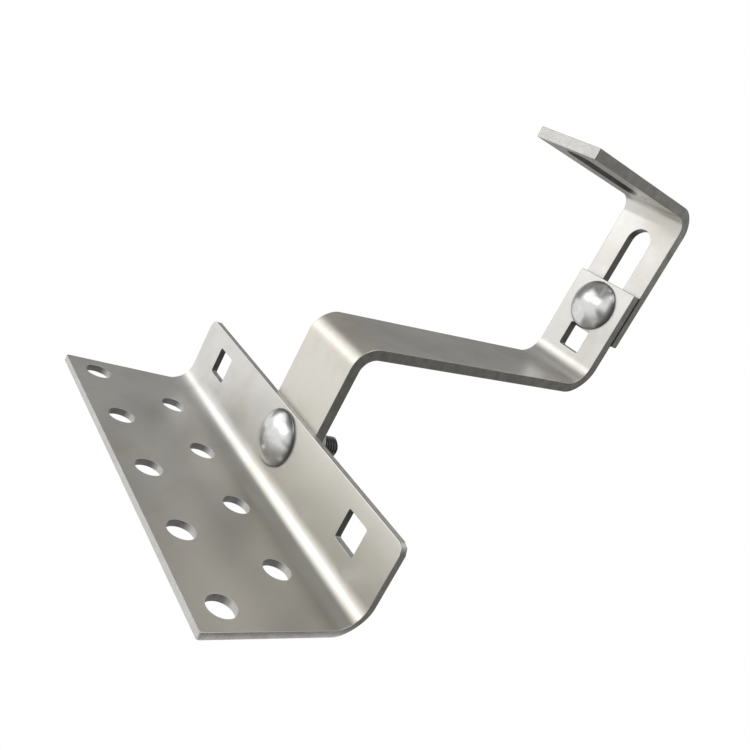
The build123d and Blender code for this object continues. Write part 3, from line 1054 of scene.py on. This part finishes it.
class ROOFHOOK_OT_fixings(bpy.types.Operator):
    """Builds both bolts with their washers, spring washers and nuts"""

    bl_idname = "roofhook.fixings"
    bl_label = "Bolts, nuts and washers"

    def execute(self, context):
        own = settings()
        fixing, finish = own.fixing, own.finish
        # painted shade: the thread is coloured dark
        dark = bright_metal("thread_painted_shade", finish, 0.24, 0.34, 500)
        tumbled = [bright_metal("fixing_tumbled", finish, 0.78, 0.26, 500)]
        for level in ("lower", "upper"):
            node = level + "_carriage_bolt"
            low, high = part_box(node)
            middle = ((low.y + high.y) / 2, (low.z + high.z) / 2)
            head_x = low.x + fixing.head_height
            points, faces, thread = bolt_surface(fixing, head_x, middle, high.x)
            metals = [bright_metal("bolt_polish_" + level, finish, 1.0, 0.23, 240, seat=head_x), dark]
            name, crease = node + "_turned", radians(32)
            mesh_piece(name, points, faces, node, "hook", metals, thread, crease=crease)

            node = level + "_hex_nut"
            low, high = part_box(node)
            points, faces = nut_surface(fixing, low.x, high.x, middle)
            name, crease = node + "_turned", radians(25)
            piece = mesh_piece(name, points, faces, node, "hook", tumbled, crease=crease)
            bevel = piece.modifiers.new("Edges", "BEVEL")
            bevel.width, bevel.segments = fixing.nut_bevel, 2
            bevel.limit_method, bevel.angle_limit = "ANGLE", crease

            washers = (("_flat_washer", 0.0, 0.0), ("_spring_washer", fixing.spring_gap, fixing.spring_slant))
            for kind, gap, slant in washers:
                node = level + kind
                low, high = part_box(node)
                outer = (high.z - low.z) / 2
                points, faces = ring_surface(fixing, low.x, high.x, middle, outer, gap, slant)
                name, crease = node + "_turned", radians(35)
                mesh_piece(name, points, faces, node, "hook", tumbled, crease=crease)
        return {"FINISHED"}


class ROOFHOOK_OT_stage(bpy.types.Operator):
    """Sets the floor, the world, the lamps and the camera"""

    bl_idname = "roofhook.stage"
    bl_label = "Stage"

    def execute(self, context):
        stage = settings().stage
        self.floor(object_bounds()[0][2] - stage.floor_gap)
        self.world()
        self.cards(context)
        self.lamps(context)
        self.camera(context, stage)
        context.scene.view_settings.view_transform = "Standard"
        return {"FINISHED"}

    @staticmethod
    def unlit(paint):
        """1 for what the camera sees, straight on, in a mirror or through a clear piece."""
        seen = paint.node("ShaderNodeLightPath", output="Is Camera Ray")
        mirror = paint.node("ShaderNodeLightPath", output="Is Glossy Ray")
        through = paint.node("ShaderNodeLightPath", output="Is Transmission Ray")
        return (seen + mirror + through).clamp()

    def floor(self, level):
        """A wide matt disc under the plate. It glows white to the camera and to mirrors.

        The glow takes 0.95 of it there, so the shadow stays. From below it is clear.
        """
        data = bpy.data.meshes.new("floor")
        count, reach = 96, 6
        angle = np.linspace(0, 2 * pi, count, endpoint=False)
        rim = np.column_stack([reach * np.cos(angle), reach * np.sin(angle), np.full(count, level)])
        data.from_pydata(rim, [], [list(range(count))])
        floor = bpy.data.objects.new("floor", data)
        bpy.context.collection.objects.link(floor)
        floor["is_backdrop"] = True
        paint = Paint(bpy.data.materials.new("floor_white"))
        matt = paint.node("ShaderNodeBsdfDiffuse", inputs={"Color": (0.8, 0.8, 0.8, 1)})
        glow = paint.node("ShaderNodeEmission", inputs={"Color": (1, 1, 1, 1), "Strength": 1.04})
        factor = self.unlit(paint) * 0.95
        both = paint.node("ShaderNodeMixShader", inputs={0: factor, 1: matt, 2: glow})
        below = paint.node("ShaderNodeNewGeometry", output="Backfacing")
        clear = paint.node("ShaderNodeBsdfTransparent")
        both = paint.node("ShaderNodeMixShader", inputs={0: below, 1: both, 2: clear})
        paint.node("ShaderNodeOutputMaterial", inputs={"Surface": both})
        data.materials.append(paint.owner)

    def world(self):
        """An even pale surround: a strength of 1 to the camera and mirrors, and half for its light."""
        world = bpy.data.worlds.new("surround")
        bpy.context.scene.world = world
        paint = Paint(world)
        strength = self.unlit(paint) * 0.5 + 0.5
        inputs = {"Color": (1, 1, 1, 1), "Strength": strength}
        back = paint.node("ShaderNodeBackground", inputs=inputs)
        paint.node("ShaderNodeOutputWorld", inputs={"Surface": back})

    @staticmethod
    def cards(context):
        """Grey cards out of the camera's sight, which give the bright metal its darker reflections.

        Each has a place, a width and height, and a point that it is turned to.
        """
        paint = Paint(bpy.data.materials.new("card_grey"))
        grey = {"Color": (1, 0.99, 0.96, 1), "Strength": 0.275}
        grey = paint.node("ShaderNodeEmission", inputs=grey)
        paint.node("ShaderNodeOutputMaterial", inputs={"Surface": grey})
        cards = (
            ("card_back", (0.52, 0.95, 1.09), (2.1, 2.2), (0.02, 0.0, 1.09)),
            ("card_over", (-0.62, 0.80, 0.80), (1.0, 0.75), (0.0, 0.0, 0.0)),
            ("card_side", (0.62, -0.775, 0.0002), (1.5, 1.4), (0.62, -0.775, 1.0)),
            ("card_far", (0.80, 0.42, 0.0002), (1.2, 0.98), (0.80, 0.42, 1.0)),
            ("card_front", (-0.86, -0.82, 0.0002), (1.5, 1.5), (-0.86, -0.82, 1.0)),
            ("card_under", (0.115, -0.06, 0.0002), (0.15, 0.22), (0.115, -0.06, 1.0)),
            ("card_high", (-0.95, 0.45, 1.15), (1.6, 1.2), (0.0, 0.0, 0.0)),
            ("card_right", (0.0, -1.0, 0.60), (2.4, 1.2), (0.0, 0.0, 0.60)),
        )
        for name, place, size, facing in cards:
            across, up = np.meshgrid([-size[0] / 2, size[0] / 2], [-size[1] / 2, size[1] / 2])
            flat = np.column_stack([across.ravel(), up.ravel(), np.zeros(4)])
            turn = (Vector(place) - Vector(facing)).to_track_quat("Z", "Y").to_matrix()
            data = bpy.data.meshes.new(name)
            data.from_pydata(flat @ np.array(turn).T + np.array(place), [], [(0, 1, 3, 2)])
            data.materials.append(paint.owner)
            card = bpy.data.objects.new(name, data)
            card.visible_camera = card.visible_shadow = card.visible_diffuse = False
            context.collection.objects.link(card)
            card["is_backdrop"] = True

    @staticmethod
    def lamps(context):
        """Soft boxes, turned to the hook's middle: two at the camera's left and one overhead.

        Each has a place, a width and height, and a power in watts.
        """
        middle = Vector((0.07, 0.0, 0.07))
        boxes = (
            ("key", (-0.62, 0.74, 0.42), (0.62, 0.54), 1.24),
            ("front", (-0.98, 0.20, 0.44), (0.62, 0.38), 1.10),
            ("top", (-0.25, -0.35, 1.2), (0.8, 0.8), 2.5),
        )
        for name, place, size, power in boxes:
            light = bpy.data.lights.new(name, "AREA")
            light.shape, light.size, light.size_y, light.energy = "RECTANGLE", *size, power
            lamp = bpy.data.objects.new(name, light)
            lamp.location = place
            lamp.rotation_euler = (middle - Vector(place)).to_track_quat("-Z", "Y").to_euler()
            context.collection.objects.link(lamp)

    @staticmethod
    def camera(context, stage):
        """The camera: it looks along its azimuth and elevation, turned about that line by its roll."""
        flat = Vector((sin(stage.azimuth), cos(stage.azimuth), 0)) * cos(stage.elevation)
        forward = flat + Vector((0, 0, -sin(stage.elevation)))
        right = forward.cross(Vector((0, 0, 1))).normalized()
        up = right.cross(forward)
        rolled_up = cos(stage.roll) * up + sin(stage.roll) * right
        rolled_right = forward.cross(rolled_up)
        data = bpy.data.cameras.new("camera")
        data.lens, data.sensor_width, data.clip_start = stage.lens, 36.0, 0.01
        camera = bpy.data.objects.new("camera", data)
        turn = Matrix((rolled_right, rolled_up, -forward)).transposed()
        camera.matrix_world = Matrix.Translation(Vector(stage.place)) @ turn.to_4x4()
        context.collection.objects.link(camera)
        context.scene.camera = camera


class ROOFHOOK_PT_panel(bpy.types.Panel):
    """A button for each operator, and a box for each group of settings"""

    bl_label = "Roof Hook"
    bl_idname = "ROOFHOOK_PT_panel"
    bl_space_type = "VIEW_3D"
    bl_region_type = "UI"
    bl_category = "Roof Hook"

    def draw(self, context):
        for operator in OPERATORS:
            self.layout.operator(operator.bl_idname)
        for group in ("sheet", "plate", "arm", "bracket", "fixing", "finish", "stage"):
            values = getattr(context.scene.roof_hook, group)
            box = self.layout.box()
            box.label(text=group.title())
            for key in values.bl_rna.properties.keys():
                if key not in ("name", "rna_type"):
                    box.prop(values, key)


OPERATORS = (
    ROOFHOOK_OT_base_plate, ROOFHOOK_OT_arm, ROOFHOOK_OT_top_bracket, ROOFHOOK_OT_fixings, ROOFHOOK_OT_stage,
)
CLASSES = (
    SheetSettings, PlateSettings, ArmSettings, BracketSettings, FixingSettings, FinishSettings, StageSettings,
    RoofHookSettings, *OPERATORS, ROOFHOOK_PT_panel,
)


def register():
    """Adds the classes and the scene's settings."""
    for one in CLASSES:
        bpy.utils.register_class(one)
    bpy.types.Scene.roof_hook = PointerProperty(type=RoofHookSettings)


def unregister():
    """Takes the settings and the classes away again."""
    del bpy.types.Scene.roof_hook
    for one in reversed(CLASSES):
        bpy.utils.unregister_class(one)


def main():
    """Registers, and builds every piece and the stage."""
    register()
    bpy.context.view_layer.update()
    bpy.ops.roofhook.base_plate()
    bpy.ops.roofhook.arm()
    bpy.ops.roofhook.top_bracket()
    bpy.ops.roofhook.fixings()
    bpy.ops.roofhook.stage()


if __name__ == "__main__":
    main()
